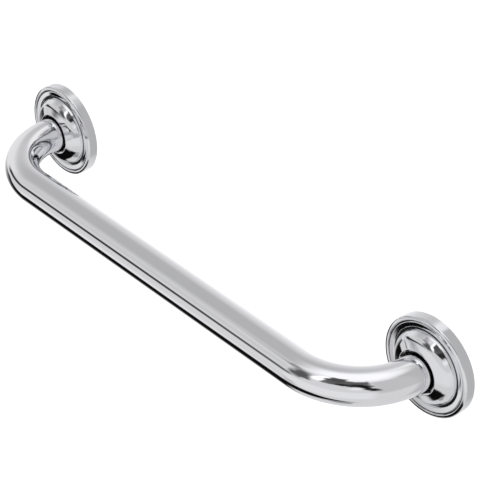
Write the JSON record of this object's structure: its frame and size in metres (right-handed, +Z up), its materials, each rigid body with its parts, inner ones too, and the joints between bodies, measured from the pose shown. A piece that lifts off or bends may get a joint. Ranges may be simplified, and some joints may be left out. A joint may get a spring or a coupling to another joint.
{
  "type": "grab bar",
  "caption": "Wall grab bar: round chromed tube with a return bend at each end, welded wall plates and stepped round covers that slide back over the screws.",
  "frame": {"origin": "centre of the left end's screw circle, on the wall plane", "axes": "+X along the bar from the left end to the right end, +Y into the wall, +Z up with the bar level"},
  "size_m": [0.45, 0.0807, 0.07],
  "materials": {
    "tube_chrome": "polished chrome plate",
    "cover_chrome": "polished chrome plate on a pressing",
    "plate_steel": "plain steel with a weld round the tube"
  },
  "bodies": {
    "bar": {"grab_bar_tube": "tube_chrome", "left_wall_plate": "plate_steel", "right_wall_plate": "plate_steel"},
    "left_cover": {"left_cover": "cover_chrome"},
    "right_cover": {"right_cover": "cover_chrome"}
  },
  "joints": [
    {"name": "left_cover_slide", "type": "slide", "parent": "bar", "child": "left_cover", "axis": [0, -1, 0], "range_m": [0, 0.011]},
    {"name": "right_cover_slide", "type": "slide", "parent": "bar", "child": "right_cover", "axis": [0, -1, 0], "range_m": [0, 0.011]}
  ]
}
